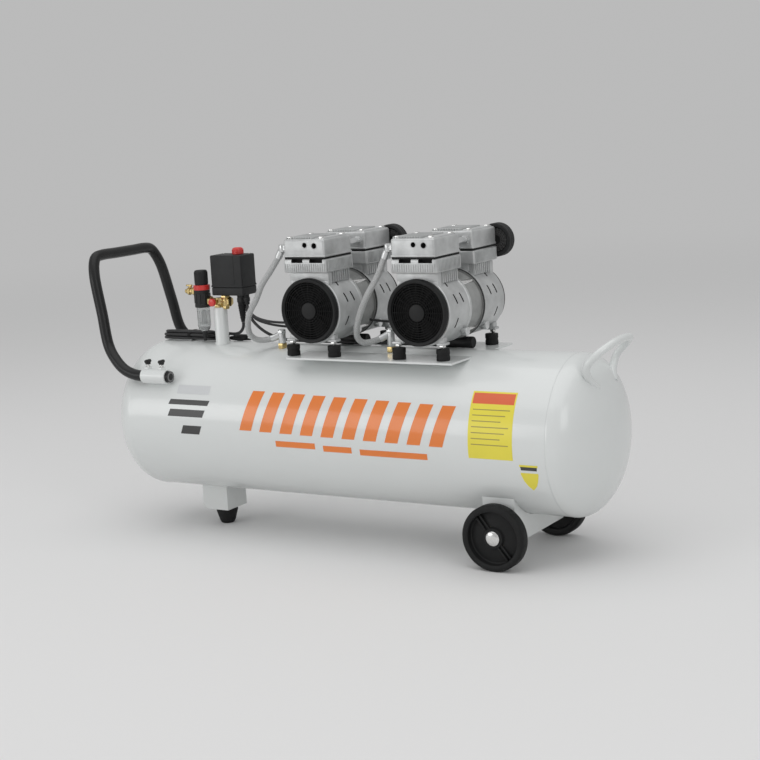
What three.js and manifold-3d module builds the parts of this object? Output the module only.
// Horizontal twin-pump air compressor on a wheeled tank.
// Millimetres, +Z up, +X towards the wheels, +Y away from the front of the machine.
// The origin lies on the ground under the middle of the machine's box.

import * as THREE from 'three';
import { mergeVertices } from 'three/addons/utils/BufferGeometryUtils.js';
import Module from 'manifold-3d';

const wasm = await Module();
wasm.setup();

// ---- driving dimensions ----
const GAP = 0.3;                       // between neighbouring solids
const TANK = { r: 167.5, wall: 3, half: 516.5, dome: 83.6, z: 257 };
const TANK_SIDES = 40;
const DECK = { x0: -97, x1: 301, top: 417.7, sheet: 4, edge: 138, inner: 60 };
const PUMPS = { left: -40, right: 221 };          // x of each motor's middle
const MOTOR_Z = 516.3;
const DRUM = { r: 72, wall: 6 };
const FRONT = { y0: -118, y1: -25, head0: -131, head1: -24 };
const REAR = { y0: 32, y1: 125, head0: 32, head1: 139 };
const BLOCK = { half: 53, z0: 597, z1: 625.7, neck: 42, neckZ: 566 };
const HEAD = { half: 51, z0: 630, z1: 671, plate: 4 };
const BORE_R = 25.4;
const STROKE = 6;                      // half of the piston's travel
const GUARD = { r: 68.7, thick: 12 };
const FEET = { x: [-57, 46], y: 108, r: 14, top: 441.4, lug: 8 };
const WHEEL = { r: 68.5, x: 385, face: 160.3, thick: 29, bore: 9.4 };
const AXLE = { r: 9, cap: 15, capLength: 4.5 };
const AXLE_BRACKET = { x0: 350, x1: 421, half: 125, low: 52, sheet: 3 };
const FOOT = { x: -386, z: 38, top: 25, tip: 14.5 };
const FOOT_BRACKET = { x0: -424, x1: -356, half: 37, sheet: 3, cut: [14, 8] };
const HANDLE = { r: 12.5, y: 150, z: 366.5, end: -402, topX: -632.3, topZ: 629.8 };
const SLEEVE = { r: 16.5, bore: 13.1, x0: -477, x1: -410 };
const SCREW = { x: -463, r: 4, hole: 4.5, z: 400, bar: 9 };
const LIFT = { r: 8, x: 610.5, z: 455 };
const SWITCH = { x0: -362, x1: -277, y0: -30, y1: 25, z0: 533, split: 551, z1: 623, wall: 3 };
const KNOB = { x: -303, y: -2, r: 13, stem: 4, z: 638 };
const RISER = { x: -349, y: -20, r: 15.5, top: 506 };
const REG = { x: -397, y: -20, r: 18, z0: 505, z1: 556 };
const CORD = { r: 3.5 };
const HANK = { x0: -540, x1: -368, r: 34, z0: 424.8, z1: 446.5, lean: 7.55 };
const DRAIN = { x: 310, r: 6 };           // behind the axle bracket, under the tank
const PLUG = { x: -379, y: 30, z: 429.2 };

// The handle reaches furthest left and the lifting handle furthest right.
const SHIFT = (-(HANDLE.topX - HANDLE.r) - (LIFT.x + LIFT.r)) / 2;

// ---- materials ----
const paint = (color, roughness, metalness = 0) =>
  new THREE.MeshStandardMaterial({ color, roughness, metalness });
const WHITE = paint(0xe4e7ea, 0.3);
const CAST = paint(0xb9bcbc, 0.45, 0.6);
const STEEL = paint(0xc8c8c8, 0.3, 0.9);
const BRASS = paint(0xb59a5a, 0.35, 0.9);
const RED = paint(0xcf2a20, 0.35);
const BLACK = paint(0x26282a, 0.6);
const RUBBER = paint(0x1d1e1f, 0.85);
const DARK = paint(0x4b4c4b, 0.5, 0.4);
const CLEAR = paint(0xdfe3e3, 0.15);
const BRAID = paint(0xc2c3c2, 0.5, 0.4);

// ---- solids ----
// A closed three.js geometry as a manifold solid with its faces pointing out.
function solid(geometry) {
  const g = geometry.clone();
  g.deleteAttribute('normal');
  g.deleteAttribute('uv');
  const merged = mergeVertices(g, 1e-3);
  const p = merged.attributes.position.array;
  const tris = [];
  let volume = 0;
  for (let i = 0; i < merged.index.count; i += 3) {
    const [a, b, c] = [0, 1, 2].map((k) => merged.index.array[i + k]);
    if (a === b || b === c || c === a) continue;
    tris.push(a, b, c);
    const [va, vb, vc] = [a, b, c].map((k) => new THREE.Vector3(p[3 * k], p[3 * k + 1], p[3 * k + 2]));
    volume += va.dot(vb.cross(vc));
  }
  if (volume < 0) {
    for (let i = 0; i < tris.length; i += 3) [tris[i], tris[i + 1]] = [tris[i + 1], tris[i]];
  }
  const mesh = { numProp: 3, vertProperties: new Float32Array(p), triVerts: new Uint32Array(tris) };
  return new wasm.Manifold(new wasm.Mesh(mesh));
}

const join = (first, ...rest) => rest.reduce((whole, piece) => whole.add(piece), first);
const cut = (first, ...tools) => tools.reduce((whole, tool) => whole.subtract(tool), first);

function box(x0, x1, y0, y1, z0, z1) {
  const g = new THREE.BoxGeometry(x1 - x0, y1 - y0, z1 - z0);
  return solid(g.translate((x0 + x1) / 2, (y0 + y1) / 2, (z0 + z1) / 2));
}

// A rod along 'x', 'y' or 'z' from a to b; (u, v) are its other two coordinates in x, y, z order.
function rod(axis, r, a, b, u, v, sides = 24, rEnd = r) {
  const g = new THREE.CylinderGeometry(rEnd, r, b - a, sides);
  const mid = (a + b) / 2;
  if (axis === 'x') return solid(g.rotateZ(-Math.PI / 2).translate(mid, u, v));
  if (axis === 'y') return solid(g.translate(u, mid, v));
  return solid(g.rotateX(Math.PI / 2).translate(u, v, mid));
}

// A profile of [radius, height] points turned about an axis through the origin.
function turned(points, axis, sides = 32) {
  const g = new THREE.LatheGeometry(points.map(([r, h]) => new THREE.Vector2(r, h)), sides);
  if (axis === 'x') g.rotateZ(-Math.PI / 2);
  if (axis === 'z') g.rotateX(Math.PI / 2);
  return solid(g);
}

// An outline of [a, b] points in the plane across 'x', 'y' or 'z', drawn out from low to high.
function slab(outline, axis, low, high) {
  const shape = new THREE.Shape(outline.map(([a, b]) => new THREE.Vector2(a, b)));
  const g = new THREE.ExtrudeGeometry(shape, { depth: high - low, bevelEnabled: false });
  g.translate(0, 0, low);
  if (axis === 'x') g.applyMatrix4(new THREE.Matrix4().set(0, 0, 1, 0, 1, 0, 0, 0, 0, 1, 0, 0, 0, 0, 0, 1));
  if (axis === 'y') g.applyMatrix4(new THREE.Matrix4().set(1, 0, 0, 0, 0, 0, 1, 0, 0, 1, 0, 0, 0, 0, 0, 1));
  return solid(g);
}

// A tube of the given radius along a smooth curve through the points.
function tube(points, r, sides = 10, steps = 32) {
  const curve = new THREE.CatmullRomCurve3(points.map((p) => new THREE.Vector3(...p)), false, 'centripetal');
  const ring = new THREE.Shape();
  for (let i = 0; i < sides; i++) {
    const a = (2 * Math.PI * i) / sides;
    if (i === 0) ring.moveTo(r, 0);
    else ring.lineTo(r * Math.cos(a), r * Math.sin(a));
  }
  return solid(new THREE.ExtrudeGeometry(ring, { extrudePath: curve, steps, bevelEnabled: false }));
}

const moved = (piece, x, y, z) => piece.translate([x, y, z]);

const model = new THREE.Group();
model.position.x = SHIFT;

function add(name, piece, material) {
  const { vertProperties, triVerts } = piece.getMesh();
  const g = new THREE.BufferGeometry();
  g.setAttribute('position', new THREE.BufferAttribute(vertProperties, 3));
  g.setIndex(new THREE.BufferAttribute(triVerts, 1));
  g.computeVertexNormals();
  const mesh = new THREE.Mesh(g, material);
  mesh.name = name;
  model.add(mesh);
}

// The space of the tank, which everything welded to it is cut back from.
const tankSpace = rod('x', TANK.r + GAP, -TANK.half, TANK.half, 0, TANK.z, TANK_SIDES);

// ---- tank ----
// Half an ellipsoid of revolution on the tank's axis, its rim at x and its crown towards side.
function dome(side, x, r, depth) {
  const steps = 6;
  const profile = [];
  for (let i = 0; i <= steps; i++) {
    const a = (Math.PI / 2) * (i / steps);
    profile.push([r * Math.sin(a), side * depth * Math.cos(a)]);
  }
  profile[0][0] = 0;
  profile.push([0, 0]);
  return moved(turned(profile, 'x', TANK_SIDES), x, 0, TANK.z);
}

const dishedEnd = (side, x) => cut(dome(side, x, TANK.r, TANK.dome),
  dome(side, x - side * 0.01, TANK.r - TANK.wall, TANK.dome - TANK.wall));

// The barrel with its left end; the right end stays a piece of its own.
function tankBarrel() {
  const outer = rod('x', TANK.r, -TANK.half, TANK.half, 0, TANK.z, TANK_SIDES);
  const inner = rod('x', TANK.r - TANK.wall, -TANK.half - 1, TANK.half + 1, 0, TANK.z, TANK_SIDES);
  return join(cut(outer, inner), dishedEnd(-1, -TANK.half + 0.005));
}

const tankEnd = () => dishedEnd(1, TANK.half + GAP);
const tankEndSpace = () => dome(1, TANK.half, TANK.r + GAP, TANK.dome + 2 * GAP);

// One wing of the flat deck plate that the pumps stand on, welded along the tank and open underneath.
function deckWing(side) {
  const { top, sheet, edge, inner } = DECK;
  const outline = [[inner - 14, top], [inner - 14, top - sheet], [edge, top - sheet], [edge, top]];
  const wing = slab(outline.map(([y, z]) => [side * y, z]), 'x', DECK.x0, DECK.x1);
  return cut(wing, tankSpace);
}

function liftingHandle() {
  const half = [[572, -42, 362], [563, -62, 384], [566, -74, 410], [588, -70, 434], [LIFT.x - 3, -46, 451],
    [LIFT.x, -20, LIFT.z]];
  const other = half.slice().reverse().map(([x, y, z]) => [x, -y, z]);
  return cut(tube([...half, ...other], LIFT.r, 8, 26), tankEndSpace());
}

// ---- undercarriage ----
function footBracket() {
  const { x0, x1, half, sheet, cut: [cx, cz] } = FOOT_BRACKET;
  const high = TANK.z;
  const outer = slab([[x0 + cx, FOOT.z], [x1, FOOT.z], [x1, high], [x0, high], [x0, FOOT.z + cz]],
    'y', -half, half);
  const inner = slab([[x0 + cx + 1, FOOT.z + sheet], [x1 - sheet, FOOT.z + sheet], [x1 - sheet, high + 1],
    [x0 + sheet, high + 1], [x0 + sheet, FOOT.z + cz + 2]], 'y', -half + sheet, half - sheet);
  return cut(outer, inner, tankSpace);
}

function rubberFoot() {
  const profile = [[0, 0], [FOOT.tip, 0], [FOOT.tip + 2, 3], [FOOT.top, FOOT.z - 8],
    [FOOT.top, FOOT.z - GAP], [0, FOOT.z - GAP]];
  return moved(turned(profile, 'z', 24), FOOT.x, 0, 0);
}

function axleBracket() {
  const { x0, x1, half, low, sheet } = AXLE_BRACKET;
  const outline = [[-half, TANK.z], [-half, 76], [-half + 24, low],
    [half - 24, low], [half, 76], [half, TANK.z]];
  const inside = [[-half + sheet, TANK.z + 1], [-half + sheet, 78], [-half + 26, low + sheet],
    [half - 26, low + sheet], [half - sheet, 78], [half - sheet, TANK.z + 1]];
  return cut(slab(outline, 'x', x0, x1), slab(inside, 'x', x0 + sheet, x1 - sheet), tankSpace,
    rod('y', AXLE.r + GAP, -half - 1, half + 1, WHEEL.x, WHEEL.r, 20));
}

function axle() {
  const end = WHEEL.face - GAP;
  return join(rod('y', AXLE.r, -end + 1, end - 1, WHEEL.x, WHEEL.r, 20),
    rod('y', AXLE.cap, -end, -end + AXLE.capLength, WHEEL.x, WHEEL.r, 20),
    rod('y', AXLE.cap, end - AXLE.capLength, end, WHEEL.x, WHEEL.r, 20));
}

// A moulded wheel: tyre rim, thin web set back from the face, and a hub round the axle.
function wheel(side) {
  const inner = WHEEL.face - WHEEL.thick;
  const hub = WHEEL.face - AXLE.capLength - 2 * GAP;
  const web = [inner + 8, inner + 14];
  const profile = [[WHEEL.bore, inner], [20, inner], [20, web[0]], [54, web[0]], [55, inner + 2],
    [64, inner],
    [WHEEL.r, inner + 5], [WHEEL.r, WHEEL.face - 5], [64, WHEEL.face], [57, WHEEL.face - 1], [54, web[1]],
    [20, web[1]], [18, hub], [WHEEL.bore, hub], [WHEEL.bore, inner]];
  const g = turned(profile.map(([r, h]) => [r, side * h]), 'y', 24);
  return moved(g, WHEEL.x, 0, WHEEL.r);
}

// ---- push handle ----
function pushHandle() {
  const slope = (HANDLE.topX + 579) / (HANDLE.topZ - 400);
  const leg = (z) => [-579 + slope * (z - 400), -137 + 20 * ((z - 400) / (HANDLE.topZ - 400)), z];
  const half = [[HANDLE.end, -HANDLE.y, HANDLE.z], [-450, -HANDLE.y, HANDLE.z],
    [-500, -HANDLE.y, HANDLE.z + 1],
    [-534, -HANDLE.y + 2, HANDLE.z + 12], [-562, -HANDLE.y + 7, HANDLE.z + 34], leg(430), leg(500), leg(585),
    [HANDLE.topX - 0.7 + slope * -15, -110, 614], [HANDLE.topX - 0.2, -99, 626],
    [HANDLE.topX, -80, HANDLE.topZ], [HANDLE.topX, -30, HANDLE.topZ]];
  const other = half.slice().reverse().map(([x, y, z]) => [x, -y, z]);
  return tube([...half, ...other], HANDLE.r, 10, 36);
}

function handleSleeve(side) {
  const y = side * HANDLE.y;
  const collar = cut(rod('x', SLEEVE.r, SLEEVE.x0, SLEEVE.x1, y, HANDLE.z, 24),
    rod('x', SLEEVE.bore, SLEEVE.x0 - 1, SLEEVE.x1 + 1, y, HANDLE.z, 24));
  return cut(collar, rod('z', SCREW.hole, HANDLE.z, HANDLE.z + 30, SCREW.x, y, 16), tankSpace);
}

function thumbScrew(side) {
  const y = side * HANDLE.y;
  return join(rod('z', SCREW.r, HANDLE.z + SLEEVE.bore + GAP, SCREW.z, SCREW.x, y, 16),
    rod('y', SCREW.r, y - SCREW.bar, y + SCREW.bar, SCREW.x, SCREW.z, 12));
}

// ---- pressure switch, regulator and their pipework ----
function airManifold() {
  const { x, y, r, top } = RISER;
  const bodyZ = 519;
  return join(cut(rod('z', r, 400, top, x, y, 24), tankSpace),
    rod('z', 13, top - 1, 527, x, y, 6),
    rod('x', 8, REG.x + REG.r + GAP, -318, y, bodyZ, 12),
    rod('z', 9, bodyZ, SWITCH.z0 - GAP, -330, y, 6));
}

function switchBase() {
  const s = SWITCH;
  return join(box(s.x0, s.x1, s.y0, s.y1, s.z0, s.split),
    rod('z', 10, 512, s.z0 + 1, -299, -5, 16),
    rod('z', 5, 470.3, 513, -299, -5, 16, 9),
    rod('z', 6, 510, s.z0 + 1, -285, -5, 12));
}

function switchCover() {
  const s = SWITCH;
  const low = s.split + GAP;
  return cut(box(s.x0, s.x1, s.y0, s.y1, low, s.z1),
    box(s.x0 + s.wall, s.x1 - s.wall, s.y0 + s.wall, s.y1 - s.wall, low - 1, s.z1 - s.wall),
    rod('z', KNOB.stem + 0.5, s.z1 - 10, s.z1 + 1, KNOB.x, KNOB.y, 16));
}

function switchKnob() {
  return join(rod('z', KNOB.stem, SWITCH.z1 - 12, SWITCH.z1 + 2, KNOB.x, KNOB.y, 16),
    rod('z', KNOB.r, SWITCH.z1 + GAP, KNOB.z, KNOB.x, KNOB.y, 24, KNOB.r - 1));
}

function safetyValve() {
  const y = RISER.y - 13 - GAP;
  return join(rod('y', 6, y - 8, y, -352, 519, 12), rod('y', 8.5, y - 16, y - 8, -352, 519, 20));
}

function regulatorBody() {
  const { x, y, r, z0, z1 } = REG;
  return join(rod('z', r, z0, z1 - 11, x, y, 28), rod('z', r + 1, z1 - 11.5, z1, x, y, 28),
    rod('x', 7, x - r - 28, x - r + 2, y, 541, 12));
}

function regulatorKnob() {
  return rod('z', 15, REG.z1 + GAP, 589, REG.x, REG.y, 24);
}

function regulatorBowl() {
  return join(rod('z', 15, 451, REG.z0 - GAP, REG.x, REG.y, 24),
    rod('z', 6, 428, 452, REG.x, REG.y, 12));
}

function outletCock() {
  const x = REG.x - REG.r - 14;
  return join(rod('z', 4, 548.4, 553, x, REG.y, 12), box(x - 11, x + 5, REG.y - 3, REG.y + 3, 552, 556));
}

function drainCock() {
  const low = TANK.z - TANK.r;
  const { x, r } = DRAIN;
  return join(rod('z', r, low - 20, low - GAP, x, 0, 16), box(x - 12, x + 12, -2, 2, low - 32, low - 19));
}

// ---- pumps; x is measured from the motor's middle, facing is -1 in front and +1 behind ----
const across = (facing) => (facing < 0 ? FRONT : REAR);

function crankcase(x, facing) {
  const { y0, y1, head0, head1 } = across(facing);
  const mid = (head0 + head1) / 2;
  const drum = rod('y', DRUM.r, y0, y1, x, MOTOR_Z, 28);
  const neck = box(x - BLOCK.neck, x + BLOCK.neck, y0, y1, BLOCK.neckZ, BLOCK.z0 + 1);
  const block = box(x - BLOCK.half, x + BLOCK.half, head0, head1, BLOCK.z0, BLOCK.z1);
  const lugs = FEET.x.map((fx) => box(x + fx - FEET.lug, x + fx + FEET.lug,
    facing * FEET.y - 9, facing * FEET.y + 9, FEET.top + GAP, MOTOR_Z - 30));
  const chamber = facing < 0
    ? rod('y', DRUM.r - DRUM.wall, y0 - 1, y1 - DRUM.wall, x, MOTOR_Z, 24)
    : rod('y', DRUM.r - DRUM.wall, y0 + DRUM.wall, y1 + 1, x, MOTOR_Z, 24);
  const shaftHole = rod('y', 9, y0 - 1, y1 + 1, x, MOTOR_Z, 12);
  const bore = rod('z', BORE_R, MOTOR_Z, BLOCK.z1 + 1, x, mid, 20);
  return cut(join(drum, neck, block, ...lugs), chamber, shaftHole, bore);
}

function head(x, facing) {
  const { head0, head1 } = across(facing);
  return join(box(x - HEAD.half, x + HEAD.half, head0, head1, HEAD.z0, HEAD.z1),
    box(x - HEAD.half + 2, x + HEAD.half - 2, head0 + 2, head1 - 2, HEAD.z0 - HEAD.plate, HEAD.z0 + 1));
}

function stator(x) {
  const ring = (r, y0, y1, sides) => rod('y', r, y0, y1, x, MOTOR_Z, sides);
  return cut(join(ring(70, FRONT.y1 + GAP, REAR.y0 - GAP, 28), ring(74, REAR.y0 - 7, REAR.y0 - GAP, 28)),
    ring(38, FRONT.y1 - 1, REAR.y0 + 1, 20));
}

// A ring with a hub and spokes, in front of the fan.
function fanGuard(x, facing) {
  const near = facing < 0 ? FRONT.y0 - GAP : REAR.y1 + GAP;
  const far = near + facing * GUARD.thick;
  const [y0, y1] = [Math.min(near, far), Math.max(near, far)];
  const [s0, s1] = facing < 0 ? [y0 + 2, y0 + 5] : [y1 - 5, y1 - 2];
  const hoop = (rOut, rIn, a, b) => cut(rod('y', rOut, a, b, x, MOTOR_Z, 24),
    rod('y', rIn, a - 1, b + 1, x, MOTOR_Z, 24));
  const spokes = [0, 1, 2].map((i) => box(-61, 61, s0, s1, -1.5, 1.5).rotate([0, i * 60, 0])
    .translate([x, 0, MOTOR_Z]));
  return join(hoop(GUARD.r, 60, y0, y1), rod('y', 17, s0, s1, x, MOTOR_Z, 12), ...spokes);
}

// The motor's core and shaft, with an eccentric for each piston and a fan at each end.
function rotor(x) {
  const pin = (y) => rod('y', 9, y - 7, y + 7, x, MOTOR_Z + STROKE, 10);
  const fan = (y) => {
    const blades = [0, 1].map((i) => box(-52, 52, y - 5, y + 5, -2, 2).rotate([0, i * 90, 0])
      .translate([x, 0, MOTOR_Z]));
    return join(rod('y', 20, y - 5, y + 5, x, MOTOR_Z, 10), ...blades);
  };
  return join(rod('y', 7, FRONT.y0 + 4, REAR.y1 - 4, x, MOTOR_Z, 10),
    rod('y', 36, FRONT.y1 + 4, REAR.y0 - 4, x, MOTOR_Z, 20),
    pin((FRONT.head0 + FRONT.head1) / 2), pin((REAR.head0 + REAR.head1) / 2),
    fan(FRONT.y0 + 12), fan(REAR.y1 - 12));
}

// A wobble piston: cup, rod and big end, whose ring clears the eccentric through the whole turn.
function piston(x, facing) {
  const { head0, head1 } = across(facing);
  const y = (head0 + head1) / 2;
  const ring = 23;
  return join(rod('z', BORE_R - 0.2, 598, 610, x, y, 20),
    box(x - 6, x + 6, y - 5, y + 5, MOTOR_Z + ring + 1, 599),
    cut(rod('y', ring + 5, y - 5, y + 5, x, MOTOR_Z, 16), rod('y', ring, y - 6, y + 6, x, MOTOR_Z, 16)));
}

function capacitor(x) {
  return rod('x', 12.3, x - 36, x + 34, 49, 430.8, 20);
}

function intakeFilter(x) {
  const y = REAR.head1 + GAP;
  return join(rod('y', 12, y, y + 8, x + 46 - 12, 648, 16), rod('y', 36, y + 4, 166, x + 46, 637, 32));
}

// Four rubber buffers, held in one piece by a thin strip along the deck and over its crown.
function pumpFeet(x) {
  const base = DECK.top + GAP;
  const buffers = [-1, 1].map((s) => FEET.x.map((fx) =>
    rod('z', FEET.r, base, FEET.top, x + fx, s * FEET.y, 16))).flat();
  const rails = [-1, 1].map((s) => box(x + FEET.x[0], x + FEET.x[1], s * FEET.y - 4, s * FEET.y + 4,
    base, base + 2));
  return [join(buffers[0], buffers[1], rails[0]), join(buffers[2], buffers[3], rails[1])];
}

const HOSES = {
  left: [[-106, -112, 648], [-118, -112, 628], [-142, -112, 597], [-167, -110, 568], [-188, -106, 535],
    [-210, -100, 508], [-227, -88, 477], [-231, -75, 453], [-222, -62, 441], [-203, -46, 440],
    [-178, -34, 449]],
  right: [[154, -112, 648], [143, -112, 626], [126, -112, 592], [90, -110, 539], [58, -95, 484],
    [48, -80, 455], [54, -68, 443], [76, -50, 446], [100, -34, 458]],
};

// The braided hose from a head to its check valve on the tank.
function hose(name, x) {
  const points = HOSES[name];
  const [ex, ey, ez] = points[points.length - 1];
  const valve = cut(rod('z', 9, 410, ez + 12, ex + 2, ey, 12), tankSpace);
  return join(tube(points, 6.5, 8, 24), valve,
    rod('x', 8, points[0][0] - 4, x - HEAD.half - GAP, points[0][1], points[0][2], 12));
}

// Leads from the switch to both motors, laid along the tank's crown.
function motorLeads() {
  return tube([[-285, -5, 509.5], [-283, -6, 492], [-262, -10, 468], [-232, -8, 447], [-200, 2, 434],
    [-160, 12, 429.5], [-126, 14, 429], [-96, 14, 429], [-60, 14, 429], [0, 14, 429], [60, 14, 429],
    [120, 14, 429], [185, 14, 429]], 3.5, 8, 28);
}

// ---- mains lead ----
// The hank and the plug are laid on the crown, then turned round the tank's axis to lie on its shoulder.
const leaned = (piece) =>
  piece.translate([0, 0, -TANK.z]).rotate([-HANK.lean, 0, 0]).translate([0, 0, TANK.z]);

function mainsCord() {
  return tube([[-299, -5, 470], [-299.3, -4.9, 462], [-304, -4.2, 453], [-312, -3.2, 446.5],
    [-324, -1.8, 442.8],
    [-340, -0.8, 442.6], [-356, -0.4, 443.6], [-375.2, -0.4, 444.2]], CORD.r, 8, 14);
}

function mainsHank() {
  const { x0, x1, r, z0, z1 } = HANK;
  const outline = [];
  for (let i = 0; i <= 12; i++) {
    const a = -Math.PI / 2 + (Math.PI * i) / 12;
    outline.push([x1 - r + r * Math.cos(a), r * Math.sin(a)]);
  }
  for (let i = 0; i <= 12; i++) {
    const a = Math.PI / 2 + (Math.PI * i) / 12;
    outline.push([x0 + r + r * Math.cos(a), r * Math.sin(a)]);
  }
  return leaned(slab(outline, 'z', z0, z1));
}

function mainsPlug() {
  const { x, y, z } = PLUG;
  const pins = [-7, 7].map((dy) => rod('x', 2.4, x + 49, x + 67, y + dy, z + 2, 10));
  const shell = box(x + 15, x + 50, y - 14, y + 14, z - 4.8, z + 9.2);
  return leaned(join(rod('x', 4.6, x, x + 16, y, z, 12, 5.8), shell, ...pins));
}

// ---- assembly ----
add('tank_barrel', tankBarrel(), WHITE);
add('tank_end_right', tankEnd(), WHITE);
add('deck_front', deckWing(-1), WHITE);
add('deck_rear', deckWing(1), WHITE);
add('lifting_handle', liftingHandle(), WHITE);
add('foot_bracket', footBracket(), WHITE);
add('rubber_foot', rubberFoot(), RUBBER);
add('axle_bracket', axleBracket(), WHITE);
add('axle', axle(), STEEL);
add('wheel_front', wheel(-1), RUBBER);
add('wheel_rear', wheel(1), RUBBER);
add('push_handle', pushHandle(), BLACK);
for (const [name, side] of [['front', -1], ['rear', 1]]) {
  add(`handle_sleeve_${name}`, handleSleeve(side), WHITE);
  add(`thumb_screw_${name}`, thumbScrew(side), BLACK);
}
add('air_manifold', airManifold(), BRASS);
add('switch_base', switchBase(), BLACK);
add('switch_cover', switchCover(), BLACK);
add('switch_knob', switchKnob(), RED);
add('safety_valve', safetyValve(), RED);
add('regulator_body', regulatorBody(), BLACK);
add('regulator_knob', regulatorKnob(), BLACK);
add('regulator_bowl', regulatorBowl(), CLEAR);
add('outlet_cock', outletCock(), BRASS);
add('drain_cock', drainCock(), BRASS);
add('motor_leads', motorLeads(), RUBBER);
add('mains_cord', mainsCord(), RUBBER);
add('mains_hank', mainsHank(), RUBBER);
add('mains_plug', mainsPlug(), BLACK);

for (const [name, x] of Object.entries(PUMPS)) {
  const [feetFront, feetRear] = pumpFeet(x);
  add(`${name}_feet_front`, feetFront, RUBBER);
  add(`${name}_feet_rear`, feetRear, RUBBER);
  for (const [end, facing] of [['front', -1], ['rear', 1]]) {
    add(`${name}_crankcase_${end}`, crankcase(x, facing), CAST);
    add(`${name}_head_${end}`, head(x, facing), CAST);
    add(`${name}_fan_guard_${end}`, fanGuard(x, facing), BLACK);
    add(`${name}_piston_${end}`, piston(x, facing), STEEL);
  }
  add(`${name}_stator`, stator(x), DARK);
  add(`${name}_rotor`, rotor(x), STEEL);
  add(`${name}_capacitor`, capacitor(x), BLACK);
  add(`${name}_intake_filter`, intakeFilter(x), BLACK);
  add(`${name}_hose`, hose(name, x), BRAID);
}

export default model;
